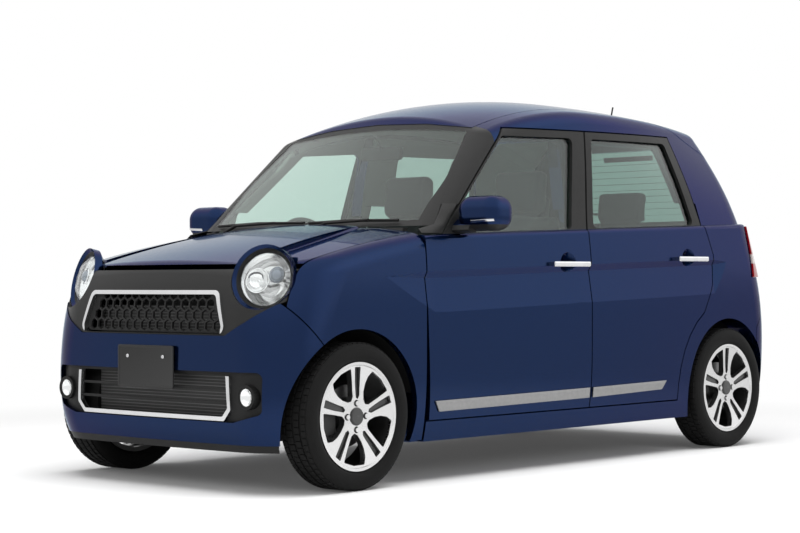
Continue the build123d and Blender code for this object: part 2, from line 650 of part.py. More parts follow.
# Wheel-arch liners: a part tube over each wheel, closed on its inner side
liners = []
for x, r, wall, floor_z, inside in ((FRONT_AXLE_X, LINER_R, 402, 240, nose(SKIN_T + SEAT_GAP)),
                                    (REAR_AXLE_X, LINER_R - 2, 420.4, 330, tub(SIDE_T + SEAT_GAP))):
    liner = arch_cut(x, r + LINER_T, wall, 720) - arch_cut(x, r, wall + LINER_T, 800)
    liner = liner & block(x - 500, x + 500, 300, 900, floor_z, 900) & inside
    liner -= block(800, 930.5, 300, 900, 100, 700)
    liners += both(liner - block(-931, -900, 300, 900, 100, 381))
nodes["wheel_liners"] = liners

knuckle = rod((FRONT_AXLE_X, 575, TYRE_R), (FRONT_AXLE_X, HUB_INNER_Y - 0.5, TYRE_R), 36)
knuckle += rod((FRONT_AXLE_X, KINGPIN_Y, 210.6), (FRONT_AXLE_X, KINGPIN_Y, 350), 16)
caliper = block(1350, 1412, 606, 682, 215, 330) - block(1300, 1390, 637, 661, 200, 400)
caliper -= Pos(FRONT_AXLE_X, 649, TYRE_R) * Rot(90, 0, 0) * Cylinder(DISC_R + 5, 24)
knuckle += block(1260, 1360, 600, 630, 250, 312)
nodes["knuckle"] = knuckle + fillet(caliper.edges().filter_by(Axis.Y), 8)
tyre = [(197, 61), (207, 63), (214, 75), (245, 82.5), (266, 78), (277, 66), (TYRE_R, 40)]
tyre += [(r, -h) for r, h in reversed(tyre)]
nodes["tyre"] = revolved(tyre, Rot(90, 0, 0))

# Rim, drawn as the left wheel: barrel, dished face, windows, pockets, nuts, cap and brake disc
OUTWARD = Rot(-90, 0, 0)
barrel = [(188, -70), (RIM_LIP_R, -70), (RIM_LIP_R, -64), (196.5, -62), (196.5, 62), (RIM_LIP_R, 64)]
barrel += [(RIM_LIP_R, 72), (195, 72), (192, 68), (186, 40), (184, -60)]
dish = [(0, FACE_BACK - 4), (60, FACE_BACK - 4), (110, FACE_BACK + 2), (188, FACE_BACK + 8), (194, 69)]
dish += [(150, 65), (100, 61), (64, 60), (0, 60)]
window = [(186, 25.5), (186, 43), (186, 60.5), (130, 60), (78, 57), (64, 46)]
window += [(72, 31), (100, 21.5), (130, 19.5), (160, 21)]
pocket = [(188, -5), (188, 4.5), (130, 6.5), (82, 11), (66, 6), (72, -3), (130, -5.3)]
rim = revolved(dish, OUTWARD)
for unit_turn in range(0, 360, 360 // SPOKE_UNITS):
    rim -= wheel_cut(window, 0, unit_turn, 6)
    rim -= wheel_cut(pocket, POCKET_FLOOR, unit_turn, 3)
rim += revolved(barrel, OUTWARD)
low, high = DISC_HEIGHT
disc = [(0, low), (DISC_R, low), (DISC_R, high), (72, high), (68, FACE_BACK), (0, FACE_BACK)]
rim += revolved(disc, OUTWARD)
rim += revolved([(0, 55), (33, 55), (33, 65), (29, 68), (0, 69)], OUTWARD)
for turn in range(0, 360, 360 // LUG_COUNT):
    x, z = spot_on_wheel(LUG_CIRCLE_R, turn)
    rim -= Pos(x, 60, z) * Rot(90, 0, 0) * Cylinder(13, 16)
    rim += Pos(x, 58, z) * Rot(90, 0, 0) * Cylinder(9, 18)
nodes["rim"] = rim
antenna = rod((-1290, 0, 1530), (-1330, 0, 1660), 4) + Pos(-1290, 0, 1535) * Cylinder(14, 40)
nodes["antenna"] = antenna - cabin(0)


def save(name, shape):
    solids = [s for q in (shape if isinstance(shape, list) else [shape]) for s in q.solids()]
    export_step(solids[0] if len(solids) == 1 else Compound(children=solids), "parts/" + name + ".step")


os.makedirs("parts", exist_ok=True)
handed = ("door_front", "door_rear", "glass_front", "glass_rear", "handle_front", "handle_rear",
          "door_mirror", "knuckle")
paired = {"fender": "front_fenders", "tail_lamp": "tail_lamps"}
for name, shape in nodes.items():
    if name in handed:
        save(name + "_left", shape)
        save(name + "_right", flip(shape))
    elif name in paired:
        save(paired[name], both(shape))
    elif name not in ("tyre", "rim"):
        save(name, shape)
for end, x in (("front", FRONT_AXLE_X), ("rear", REAR_AXLE_X)):
    for piece in ("tyre", "rim"):
        left = Pos(x, TYRE_OUTER_Y - TYRE_WIDTH / 2, TYRE_R) * nodes[piece]
        save(piece + "_" + end + "_left", left)
        turned = Pos(x, TYRE_WIDTH / 2 - TYRE_OUTER_Y, TYRE_R) * Rot(0, 0, 180) * nodes[piece]
        save(piece + "_" + end + "_right", turned)
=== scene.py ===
# %% [markdown]
# A small upright hatchback, dressed for its portrait. The CAD model gives every main form, so this
# file gives the finishes, the trim that is too fine for CAD, the light and the camera. Loading the
# frame first means each later piece can be placed from the car's own numbers, in metres.

# %% Load the frame
from math import cos, radians, sin, pi
import bpy
import bmesh
from mathutils import Matrix, Vector


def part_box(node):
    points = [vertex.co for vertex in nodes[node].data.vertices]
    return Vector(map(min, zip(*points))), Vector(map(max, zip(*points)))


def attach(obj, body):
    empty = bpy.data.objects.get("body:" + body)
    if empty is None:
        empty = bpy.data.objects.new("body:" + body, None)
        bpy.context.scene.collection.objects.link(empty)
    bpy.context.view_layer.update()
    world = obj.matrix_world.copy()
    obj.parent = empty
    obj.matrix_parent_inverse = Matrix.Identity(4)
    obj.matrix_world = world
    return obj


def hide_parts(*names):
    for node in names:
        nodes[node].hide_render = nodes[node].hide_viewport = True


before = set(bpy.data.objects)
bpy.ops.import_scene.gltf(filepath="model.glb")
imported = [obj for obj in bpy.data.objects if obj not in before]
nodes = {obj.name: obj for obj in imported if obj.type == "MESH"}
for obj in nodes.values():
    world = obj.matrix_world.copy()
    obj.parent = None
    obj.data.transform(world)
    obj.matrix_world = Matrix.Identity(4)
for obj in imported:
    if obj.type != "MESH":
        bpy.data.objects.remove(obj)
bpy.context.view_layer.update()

# %% [markdown]
# A finish is a small graph of nodes. Written as plain sums it stays readable, so one class wraps an
# output socket and turns + - * / and comparisons into Math nodes, and another holds the material.

# %% A way to write finishes as sums
class Wire:
    """One output socket that can be used in sums."""
    def __init__(self, finish, socket):
        self.finish = finish
        self.socket = socket

    def math(self, operation, a, b=0.0):
        return self.finish.node("ShaderNodeMath", {"operation": operation}, {0: a, 1: b})

    def __add__(self, other):
        return self.math("ADD", self, other)

    def __radd__(self, other):
        return self.math("ADD", other, self)

    def __sub__(self, other):
        return self.math("SUBTRACT", self, other)

    def __rsub__(self, other):
        return self.math("SUBTRACT", other, self)

    def __mul__(self, other):
        return self.math("MULTIPLY", self, other)

    def __rmul__(self, other):
        return self.math("MULTIPLY", other, self)

    def __truediv__(self, other):
        return self.math("DIVIDE", self, other)

    def __gt__(self, other):
        return self.math("GREATER_THAN", self, other)

    def __lt__(self, other):
        return self.math("LESS_THAN", self, other)

    def __abs__(self):
        return self.math("ABSOLUTE", self)

    def fold(self, width):
        """Up and down again every width, as ribs and weave are."""
        return self.math("PINGPONG", self, width)

    def power(self, exponent):
        return self.math("POWER", self, exponent)

    def root(self):
        return self.math("SQRT", self)


class Finish:
    """A material and the node tree behind it."""
    def __init__(self, name):
        self.material = bpy.data.materials.new(name)
        self.material.use_nodes = True
        self.tree = self.material.node_tree
        self.tree.nodes.clear()
        self.place = self.node("ShaderNodeTexCoord", {}, {}, "Object")

    def node(self, kind, settings, sockets, out=0):
        made = self.tree.nodes.new(kind)
        for key, value in settings.items():
            setattr(made, key, value)
        for key, value in sockets.items():
            if isinstance(value, Wire):
                self.tree.links.new(value.socket, made.inputs[key])
            else:
                made.inputs[key].default_value = value
        return Wire(self, made.outputs[out])

    def axes(self, vector=None):
        source = vector or self.place
        return [self.node("ShaderNodeSeparateXYZ", {}, {0: source}, k) for k in range(3)]

    def rise(self, value, low, high):
        smooth = {"interpolation_type": "SMOOTHSTEP"}
        return self.node("ShaderNodeMapRange", smooth, {0: value, 1: low, 2: high})

    def mix(self, factor, a, b):
        return self.node("ShaderNodeMix", {"data_type": "RGBA"}, {0: factor, 6: a, 7: b}, 2)

    def noise(self, scale, detail=2.0):
        return self.node("ShaderNodeTexNoise", {}, {"Vector": self.place, "Scale": scale, "Detail": detail})

    def bump(self, height, distance, strength=1.0):
        return self.node("ShaderNodeBump", {}, {"Strength": strength, "Distance": distance, "Height": height})

    def surface(self, **sockets):
        named = {key.replace("_", " "): value for key, value in sockets.items()}
        return self.node("ShaderNodeBsdfPrincipled", {}, named)

    def join(self, factor, a, b):
        return self.node("ShaderNodeMixShader", {}, {0: factor, 1: a, 2: b})

    def done(self, shader):
        output = self.tree.nodes.new("ShaderNodeOutputMaterial")
        self.tree.links.new(shader.socket, output.inputs[0])
        return self.material


def grey(v):
    return (v, v, v, 1.0)


# %% [markdown]
# The paint is a deep blue with fine metal flake under a clear coat. The same pressings carry black
# window frames and pillars, pale cabin trim on their inner faces and dark trim below the belt line, so
# masks on the Object coordinates and on the face direction choose between four finishes.

# %% Body paint, black frames and cabin trim
BELT_Z = 1.006
BELT_SLOPE = -0.0375
MIRROR_FOOT_Z = 1.014
FLAKE_DARK = (0.0036, 0.0120, 0.046, 1)
FLAKE_BRIGHT = (0.0080, 0.0225, 0.074, 1)
PAINT_BLUE = (0.0054, 0.0165, 0.060, 1)


def satin_black(finish, level=0.012, rough=0.42):
    grain = finish.noise(900.0)
    return finish.surface(Base_Color=finish.mix(grain, grey(level * 0.7), grey(level * 1.5)),
                          Roughness=rough + 0.14 * finish.noise(40.0), Specular_IOR_Level=0.15,
                          Normal=finish.bump(grain, 0.0002, 0.35))


def cabin_trim(finish, dark, pale):
    grain = finish.node("ShaderNodeTexVoronoi", {}, {"Vector": finish.place, "Scale": 420.0}, "Distance")
    return finish.surface(Base_Color=finish.mix(finish.noise(30.0), dark, pale),
                          Roughness=0.62 + 0.2 * grain,
                          Normal=finish.bump(grain, 0.0004, 0.4))


def clear_coated(finish):
    cells = finish.node("ShaderNodeTexVoronoi", {}, {"Vector": finish.place, "Scale": 1400.0}, "Color")
    sparkle = finish.axes(cells)[0]
    cloud = finish.noise(1.3)
    deep = finish.mix(sparkle, FLAKE_DARK, FLAKE_BRIGHT)
    return finish.surface(Base_Color=finish.mix(cloud, deep, PAINT_BLUE),
                          Metallic=0.80 + 0.15 * sparkle,
                          Roughness=0.15 + 0.10 * sparkle,
                          Specular_IOR_Level=0.2,
                          Specular_Tint=(0.15, 0.29, 0.46, 1),
                          Coat_Weight=0.40, Coat_Roughness=0.02, Coat_IOR=1.30)


def pressing(name, black_from=None, black_to=None, inside=True):
    """Painted sheet, black between two places along the car above the belt, trimmed inside."""
    finish = Finish(name)
    x, y, z = finish.axes()
    shader = clear_coated(finish)
    above = finish.rise(z - (BELT_SLOPE * x + BELT_Z), -0.0005, 0.0005)
    if black_from is not None:
        zone = above * (x > black_from) * (x < black_to)
        shader = finish.join(zone, shader, satin_black(finish))
    if inside:
        ny = finish.axes(finish.node("ShaderNodeNewGeometry", {}, {}, "Normal"))[1]
        inward = finish.rise(0.0 - ny * y.math("SIGN", y), 0.2, 0.3) * (z > 0.30)
        trim = finish.join(above, cabin_trim(finish, grey(0.030), grey(0.045)),
                           cabin_trim(finish, (0.36, 0.38, 0.35, 1), (0.42, 0.44, 0.41, 1)))
        shader = finish.join(inward, shader, trim)
    return finish.done(shader)


def headlined_roof():
    finish = Finish("roof_paint_and_headlining")
    nz = finish.axes(finish.node("ShaderNodeNewGeometry", {}, {}, "Normal"))[2]
    lining = cabin_trim(finish, (0.40, 0.41, 0.38, 1), (0.46, 0.47, 0.44, 1))
    underside = finish.rise(0.0 - nz, 0.2, 0.3)
    return finish.done(finish.join(underside, clear_coated(finish), lining))


def plain_paint():
    finish = Finish("body_paint_plain")
    return finish.done(clear_coated(finish))


def dress(material, *names):
    for name in names:
        mesh = nodes[name].data
        mesh.materials.clear()
        mesh.materials.append(material)


def mirror_cap():
    """Painted cap on a black foot."""
    finish = Finish("mirror_cap_and_foot")
    z = finish.axes()[2]
    cap = finish.rise(z, MIRROR_FOOT_Z - 0.0005, MIRROR_FOOT_Z + 0.0005)
    return finish.done(finish.join(cap, satin_black(finish), clear_coated(finish)))


paint = plain_paint()
dress(paint, "hood", "front_fenders", "front_bumper", "rear_bumper")
dress(mirror_cap(), "door_mirror_left", "door_mirror_right")
dress(pressing("door_paint_and_frames", -2.0, 2.0),
      "door_front_left", "door_front_right", "door_rear_left", "door_rear_right")
dress(pressing("side_paint_and_front_pillar", 0.36, 2.0), "body_side_left", "body_side_right")
dress(pressing("tailgate_paint", inside=False), "tailgate")
dress(headlined_roof(), "roof_panel")
print("painted nodes", 14)

# %% [markdown]
# Black parts are of three kinds: satin moulded plastic with a fine grain, rougher wheel-arch liners and
# the smoother black of the front face. One grained recipe with other levels does for all. The trim round
# the grilles and the door handles have a satin bright plating.

# %% Black plastics and bright plating
def black_plastic(name, level, rough):
    finish = Finish(name)
    return finish.done(satin_black(finish, level, rough))


face_black = black_plastic("face_satin_black", 0.018, 0.30)
trim_black = black_plastic("moulded_black", 0.014, 0.45)
liner_black = black_plastic("liner_black", 0.010, 0.75)
dress(face_black, "face_panel")
dress(trim_black, "grilles", "cowl", "antenna", "wipers")
dress(liner_black, "wheel_liners")


def bright_plating():
    finish = Finish("satin_bright_plating")
    wear = finish.noise(18.0, 4.0)
    tone = finish.mix(wear, grey(0.56), (0.66, 0.665, 0.68, 1))
    return finish.done(finish.surface(Base_Color=tone, Metallic=1.0, Roughness=0.16 + 0.12 * wear))


bright = bright_plating()
dress(bright, "bright_trim",
      "handle_front_left", "handle_front_right", "handle_rear_left", "handle_rear_right")
print("black nodes", 6, "plated nodes", 5)

# %% [markdown]
# Glass and lenses let light straight through and mirror more at a shallow angle, which is what a
# Fresnel factor between a transparent and a glossy shader does. The tint sits in the transparent part.
# The rear window also carries thin heater lines, drawn by height, and the windscreen a black edge band
# that widens towards its foot.

# %% Glass and lenses
HEATER_STEP = 0.016
SCREEN_HALF = 0.676
SCREEN_TAPER = 0.3444
SCREEN_FOOT_Z = 1.012


def pane(name, tint, least, lines=False, band=False):
    finish = Finish(name)
    clear = finish.node("ShaderNodeBsdfTransparent", {}, {"Color": tint})
    shine = finish.node("ShaderNodeBsdfGlossy", {}, {"Color": grey(0.90), "Roughness": 0.0})
    slant = finish.node("ShaderNodeLayerWeight", {}, {"Blend": 0.5}, "Facing")
    shader = finish.join(least + (1.0 - least) * slant.power(5.0), clear, shine)
    if lines:
        z = finish.axes()[2]
        heated = (z.fold(HEATER_STEP) < 0.0009) * (z > 1.12) * (z < 1.41)
        wire = finish.surface(Base_Color=(0.16, 0.06, 0.03, 1), Roughness=0.5)
        shader = finish.join(heated, shader, wire)
    if band:
        x, y, z = finish.axes()
        edge = SCREEN_HALF - SCREEN_TAPER * (z - SCREEN_FOOT_Z) - abs(y)
        wide = 0.016 + 0.050 * (1.0 - finish.rise(z, 1.03, 1.25))
        banded = ((edge < wide) + (z < 1.036) + (z > 1.445 - 0.11 * y * y)) > 0.5
        shader = finish.join(banded, shader, satin_black(finish))
    return finish.done(shader)


dress(pane("windscreen_glass", (0.82, 0.89, 0.86, 1), 0.04, band=True), "windscreen")
dress(pane("side_glass", (0.80, 0.89, 0.86, 1), 0.04), "glass_front_left", "glass_front_right")
dress(pane("rear_side_glass", (0.60, 0.70, 0.67, 1), 0.04), "glass_rear_left", "glass_rear_right")
dress(pane("heated_glass", (0.60, 0.70, 0.67, 1), 0.04, True), "tailgate_glass")
lens_clear = pane("lamp_lens", (0.97, 0.98, 0.98, 1), 0.04)
dress(lens_clear, "lamp_lenses")


def red_lens():
    finish = Finish("red_lens_ribbed")
    z = finish.axes()[2]
    ribs = z.fold(0.006)
    clear_band = finish.rise(z, 0.868, 0.872) * (1.0 - finish.rise(z, 0.912, 0.916))
    colour = finish.mix(clear_band, (0.26, 0.003, 0.005, 1), (0.50, 0.44, 0.42, 1))
    return finish.done(finish.surface(Base_Color=colour, Roughness=0.12 + 4.0 * ribs,
                                      Coat_Weight=0.4, Specular_IOR_Level=0.3,
                                      Normal=finish.bump(ribs, 0.001, 0.4)))


red = red_lens()
dress(red, "tail_lamps")
print("glazed nodes", 8)

# %% [markdown]
# The lamp bowls are one node with three finishes. The distance from the lamp's own axis chooses between
# them: a mirror behind the lens, a thin black ring round it and body paint outside. Below the headlamps
# the same node only holds the black fog-lamp bowls.

# %% Lamp bowls
LAMP = (1.580, 0.536, 0.805)
LAMP_YAW = radians(20.0)
LAMP_PITCH = radians(14.0)
LENS_R = 0.1015
RING_R = 0.116


def lamp_bowl():
    """Bright behind the lens, satin black on a thin ring, body paint outside it."""
    finish = Finish("lamp_bowl_bright_and_black")
    x, y, z = finish.axes()
    px = x - LAMP[0]
    py = abs(y) - LAMP[1]
    pz = z - LAMP[2]
    along = cos(LAMP_PITCH) * (cos(LAMP_YAW) * px + sin(LAMP_YAW) * py) + sin(LAMP_PITCH) * pz
    far = px * px + py * py + pz * pz - along * along
    upper = z > 0.6
    flutes = finish.noise(60.0)
    mirror = finish.surface(Base_Color=grey(0.80), Metallic=1.0, Roughness=0.10 + 0.1 * flutes)
    ring = finish.join((far < LENS_R * LENS_R) * upper, satin_black(finish, 0.012, 0.3), mirror)
    return finish.done(finish.join((far > RING_R * RING_R) * upper, ring, clear_coated(finish)))


dress(lamp_bowl(), "lamp_bowls")
print("lamp bowl node", 1)

# %% [markdown]
# The wheels: rubber with moulded rings on its sidewall, and a cast rim whose outer faces are machined
# bright while pockets, window walls and barrel stay dark. The height of a face above the wheel's middle
# tells which is which, and the brake disc behind shows turned rings.

# %% Rubber and alloy
AXLES = {"front": 1.2675, "rear": -1.2525}
WHEEL_Z = 0.281
WHEEL_Y = 0.6525


def from_hub(finish, axle):
    x, y, z = finish.axes()
    reach = (x - axle) * (x - axle) + (z - WHEEL_Z) * (z - WHEEL_Z)
    return reach.root(), y


def rubber(end):
    finish = Finish("tyre_rubber_" + end)
    r, y = from_hub(finish, AXLES[end])
    rings = finish.rise(abs(r - 0.2255), 0.0006, 0.0014) * finish.rise(abs(r - 0.259), 0.0008, 0.0018)
    dust = finish.noise(25.0, 4.0)
    skin = rings + 0.15 * finish.noise(500.0)
    return finish.done(finish.surface(Base_Color=finish.mix(dust, grey(0.004), grey(0.011)),
                                      Roughness=0.68 + 0.25 * dust, Specular_IOR_Level=0.15,
                                      Normal=finish.bump(skin, 0.0012, 0.6)))


def machined(end):
    finish = Finish("alloy_machined_" + end)
    r, y = from_hub(finish, AXLES[end])
    height = abs(y) - WHEEL_Y
    turned = r.fold(0.0006)
    face = finish.rise(height, 0.0575, 0.0582) * finish.rise(r, 0.0345, 0.0350)
    bright_face = finish.surface(Base_Color=finish.mix(finish.noise(9.0), grey(0.56), grey(0.66)),
                                 Metallic=1.0, Roughness=0.22 + 100.0 * turned)
    dark = finish.surface(Base_Color=finish.mix(finish.noise(60.0), grey(0.022), grey(0.036)),
                          Metallic=0.4, Roughness=0.38, Coat_Weight=0.4)
    iron = finish.surface(Base_Color=finish.mix(finish.noise(80.0), grey(0.16), grey(0.26)),
                          Metallic=1.0, Roughness=0.34 + 150.0 * turned)
    disc = (height < 0.012) * (r < 0.1195)
    return finish.done(finish.join(face, finish.join(disc, dark, iron), bright_face))


for end in AXLES:
    dress(rubber(end), "tyre_" + end + "_left", "tyre_" + end + "_right")
    dress(machined(end), "rim_" + end + "_left", "rim_" + end + "_right")
print("wheel nodes", 8)

# %% [markdown]
# Running gear and underside are seen only from below and through the arches: dull black iron, a
# sealed floor, a browned exhaust and a finned radiator behind the grille. The dashboard and the steering
# wheel have a grained dark plastic.

# %% Underside and dashboard finishes
def dull_metal(name, low, high, rough, metal):
    finish = Finish(name)
    grime = finish.noise(22.0, 5.0)
    return finish.done(finish.surface(Base_Color=finish.mix(grime, low, high), Metallic=metal,
                                      Roughness=rough + 0.25 * grime,
                                      Normal=finish.bump(finish.noise(160.0), 0.0006, 0.4)))


dress(dull_metal("cast_running_gear", grey(0.022), grey(0.05), 0.45, 0.6),
      "front_suspension", "rear_axle", "engine_block", "knuckle_left", "knuckle_right")
dress(dull_metal("floor_underseal", grey(0.02), grey(0.04), 0.6, 0.0), "floor_pan")
dress(dull_metal("exhaust_steel", (0.16, 0.14, 0.12, 1), (0.34, 0.32, 0.30, 1), 0.3, 1.0), "exhaust")


def radiator_fins():
    finish = Finish("radiator_fins")
    x, y, z = finish.axes()
    fins = y.fold(0.0025)
    tubes = z.fold(0.006)
    tone = finish.mix(finish.rise(tubes, 0.001, 0.002), grey(0.16), grey(0.05))
    return finish.done(finish.surface(Base_Color=tone, Metallic=0.8, Roughness=0.4 + 60.0 * fins,
                                      Normal=finish.bump(fins * 300.0, 0.002, 0.8)))


dress(radiator_fins(), "radiator")


def cabin_plastic(name, dark, pale):
    finish = Finish(name)
    return finish.done(cabin_trim(finish, dark, pale))


dash_grey = cabin_plastic("dashboard_grained", grey(0.028), grey(0.04))
dress(dash_grey, "dashboard", "steering_wheel")
print("underside nodes", 8, "dashboard nodes", 2)

# %% [markdown]
# Seats are soft, so they aren't left as CAD solids. Each seat is copied, remeshed evenly and blown up a
# little by a cloth pressure run, which rounds it between its seams as foam under cloth does. The weave
# and the sewn seams come from the finish.

# %% Seats
SEAT_Y = 0.33
SEAM_Y = 0.135
THREAD = 0.0012
FOAM_STEPS = 16


def seat_cloth():
    finish = Finish("seat_woven_cloth")
    x, y, z = finish.axes()
    weave = (y.fold(THREAD) + (x + z).fold(THREAD)) * 420.0
    across = abs(abs(y) - SEAT_Y)
    seam = 1.0 - finish.rise(abs(across - SEAM_Y), 0.0015, 0.0035)
    insert = finish.rise(SEAM_Y - across, -0.001, 0.001)
    woven = finish.mix(weave, (0.035, 0.036, 0.040, 1), (0.060, 0.061, 0.066, 1))
    tone = finish.mix(insert, grey(0.020), woven)
    return finish.done(finish.surface(Base_Color=finish.mix(seam, tone, grey(0.006)),
                                      Roughness=0.85 + 0.1 * weave, Sheen_Weight=0.25,
                                      Normal=finish.bump(weave - 2.0 * seam, 0.0012, 0.5)))


cloth_finish = seat_cloth()


def upholster(name, node, voxel, most):
    bpy.ops.object.select_all(action="DESELECT")
    pad = nodes[node].copy()
    pad.data = nodes[node].data.copy()
    pad.name = name
    pad.parent = None
    for key in list(pad.keys()):
        del pad[key]
    bpy.context.scene.collection.objects.link(pad)
    pad.select_set(True)
    bpy.context.view_layer.objects.active = pad
    bpy.ops.object.mode_set(mode="EDIT")
    bpy.ops.mesh.select_all(action="SELECT")
    bpy.ops.mesh.remove_doubles(threshold=0.0002)
    bpy.ops.object.mode_set(mode="OBJECT")
    remesh = pad.modifiers.new("even", "REMESH")
    remesh.mode = "VOXEL"
    remesh.voxel_size = voxel
    bpy.ops.object.modifier_apply(modifier="even")
    before = [v.co.copy() for v in pad.data.vertices]
    cloth = pad.modifiers.new("foam", "CLOTH")
    cloth.settings.use_pressure = True
    cloth.settings.uniform_pressure_force = 4.0
    cloth.settings.effector_weights.gravity = 0.0
    cloth.point_cache.frame_end = FOAM_STEPS
    for step in range(1, FOAM_STEPS + 1):
        bpy.context.scene.frame_set(step)
    bpy.ops.object.modifier_apply(modifier="foam")
    bpy.context.scene.frame_set(1)
    for vertex, start in zip(pad.data.vertices, before):
        shift = vertex.co - start
        if shift.length > most:
            vertex.co = start + shift * (most / shift.length)
    soften = pad.modifiers.new("soften", "SMOOTH")
    soften.iterations = 4
    bpy.ops.object.modifier_apply(modifier="soften")
    pad.data.materials.clear()
    pad.data.materials.append(cloth_finish)
    bpy.ops.object.shade_smooth()
    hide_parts(node)
    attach(pad, "shell")
    print(name, "faces", len(pad.data.polygons))


upholster("front_seat_pads", "front_seats", 0.011, 0.010)
upholster("rear_seat_pad", "rear_seat", 0.012, 0.010)

# %% [markdown]
# Every piece of trim ends with the same steps: its place is applied, its faces are turned outwards, and it
# gets a finish and the body that it rides on. Thin sheets are also given a wall and a rounded edge.

# %% Steps that all trim shares
def start_clean():
    if bpy.context.object and bpy.context.object.mode != "OBJECT":
        bpy.ops.object.mode_set(mode="OBJECT")
    bpy.ops.object.select_all(action="DESELECT")


def settle(piece, name, material, body, angle=35.0):
    """Apply the place, close seams, turn faces out, give the finish and the body to ride on."""
    start_clean()
    piece.name = name
    piece.select_set(True)
    bpy.context.view_layer.objects.active = piece
    bpy.ops.object.transform_apply(location=True, rotation=True, scale=True)
    bpy.ops.object.mode_set(mode="EDIT")
    bpy.ops.mesh.select_all(action="SELECT")
    bpy.ops.mesh.remove_doubles(threshold=0.00005)
    bpy.ops.mesh.normals_make_consistent(inside=False)
    bpy.ops.object.mode_set(mode="OBJECT")
    piece.data.materials.clear()
    piece.data.materials.append(material)
    bpy.ops.object.shade_smooth_by_angle(angle=radians(angle))
    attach(piece, body)
    return piece


def round_edges(piece, width):
    soften = piece.modifiers.new("edge", "BEVEL")
    soften.width = width
    soften.segments = 2
    soften.limit_method = "ANGLE"
    bpy.ops.object.modifier_apply(modifier="edge")


def grow_wall(piece, thick, offset):
    wall = piece.modifiers.new("wall", "SOLIDIFY")
    wall.thickness = thick
    wall.offset = offset
    bpy.ops.object.modifier_apply(modifier="wall")


def faces_outward():
    bpy.ops.object.mode_set(mode="EDIT")
    bpy.ops.mesh.select_all(action="SELECT")
    bpy.ops.mesh.normals_make_consistent(inside=False)
    bpy.ops.object.mode_set(mode="OBJECT")


print("shared trim steps", 5)

# %% [markdown]
# Round trim is turned as on a lathe: a circle is added, then extruded and resized from ring to ring
# along a half outline of radius and height.

# %% Turned trim
def lathe(outline, spot=(0, 0, 0), aim=(0, 0, 1), steps=48):
    start_clean()
    bpy.ops.mesh.primitive_circle_add(vertices=steps, radius=outline[0][0], location=(0, 0, 0))
    piece = bpy.context.object
    bpy.ops.object.mode_set(mode="EDIT")
    bpy.ops.mesh.select_mode(type="VERT")
    bpy.ops.mesh.select_all(action="SELECT")
    bpy.ops.transform.translate(value=(0, 0, outline[0][1]))
    for (r0, h0), (r1, h1) in zip(outline, outline[1:]):
        bpy.ops.mesh.extrude_region_move(TRANSFORM_OT_translate={"value": (0, 0, h1 - h0)})
        k = r1 / r0
        bpy.ops.transform.resize(value=(k, k, 1), center_override=(0, 0, h1))
    bpy.ops.object.mode_set(mode="OBJECT")
    piece.rotation_euler = Vector(aim).to_track_quat("Z", "Y").to_euler()
    piece.location = spot
    return piece


print("lathe ready")

# %% [markdown]
# Flat trim starts as a cube between two corners. The edges along one axis are bevelled, and the outer
# face can be inset and sunk, which leaves a raised rim.

# %% Flat trim
def slab(low, high, axis, corner, rim=0.0, sink=0.0, edge=0.0008):
    """A plate between two corners: rounded across one axis, its outer face inset and sunk."""
    start_clean()
    size = [b - a for a, b in zip(low, high)]
    middle = [(a + b) / 2 for a, b in zip(low, high)]
    bpy.ops.mesh.primitive_cube_add(size=1.0, location=middle)
    piece = bpy.context.object
    piece.scale = size
    bpy.ops.object.transform_apply(location=True, rotation=True, scale=True)
    bpy.ops.object.mode_set(mode="EDIT")
    mesh = bmesh.from_edit_mesh(piece.data)
    way = abs(axis) - 1
    for item in mesh.edges:
        run = item.verts[1].co - item.verts[0].co
        item.select_set(abs(run[way]) > 0.9 * run.length)
    bmesh.update_edit_mesh(piece.data)
    bpy.ops.mesh.select_mode(type="EDGE")
    bpy.ops.mesh.bevel(offset=corner, segments=5, affect="EDGES")
    bpy.ops.mesh.select_mode(type="FACE")
    mesh = bmesh.from_edit_mesh(piece.data)
    for face in mesh.faces:
        face.select_set(face.normal[way] * (1 if axis > 0 else -1) > 0.9)
    bmesh.update_edit_mesh(piece.data)
    if rim:
        bpy.ops.mesh.inset(thickness=rim, depth=0.0)
        bpy.ops.mesh.inset(thickness=abs(sink) * 0.6, depth=-sink)
    bpy.ops.object.mode_set(mode="OBJECT")
    round_edges(piece, edge)
    return piece


print("slab ready")

# %% [markdown]
# A strip that follows a curved panel starts as a flat grid outside the car. Shrinkwrap lays it on the
# panel along one axis, and a wall then grows outwards from it.

# %% Trim laid on a panel
def clad(node, corners, axis, thick, cuts=(28, 3), edge=0.0012):
    """A strip between four corners, shrunk onto a pressing and thickened outwards."""
    start_clean()
    bpy.ops.mesh.primitive_grid_add(x_subdivisions=cuts[0], y_subdivisions=cuts[1], size=1.0)
    piece = bpy.context.object
    way = abs(axis) - 1
    sign = 1 if axis > 0 else -1
    flat = [k for k in range(3) if k != way]
    a, b, c, d = corners
    for vertex in piece.data.vertices:
        u = vertex.co.x + 0.5
        v = vertex.co.y + 0.5
        spot = [0.0, 0.0, 0.0]
        for k, place in enumerate(flat):
            spot[place] = (1 - v) * ((1 - u) * a[k] + u * b[k]) + v * ((1 - u) * d[k] + u * c[k])
        spot[way] = sign * 2.2
        vertex.co = spot
    wrap = piece.modifiers.new("lay", "SHRINKWRAP")
    wrap.wrap_method = "PROJECT"
    wrap.target = nodes[node]
    wrap.use_project_x = way == 0
    wrap.use_project_y = way == 1
    wrap.use_project_z = way == 2
    wrap.use_negative_direction = sign > 0
    wrap.use_positive_direction = sign < 0
    bpy.ops.object.modifier_apply(modifier="lay")
    faces_outward()
    outward = sum(face.normal[way] * sign for face in piece.data.polygons)
    grow_wall(piece, thick, 1.0 if outward > 0 else -1.0)
    round_edges(piece, edge)
    return piece


SIDES = (("left", 1), ("right", -1))
print("clad ready, sides", len(SIDES))

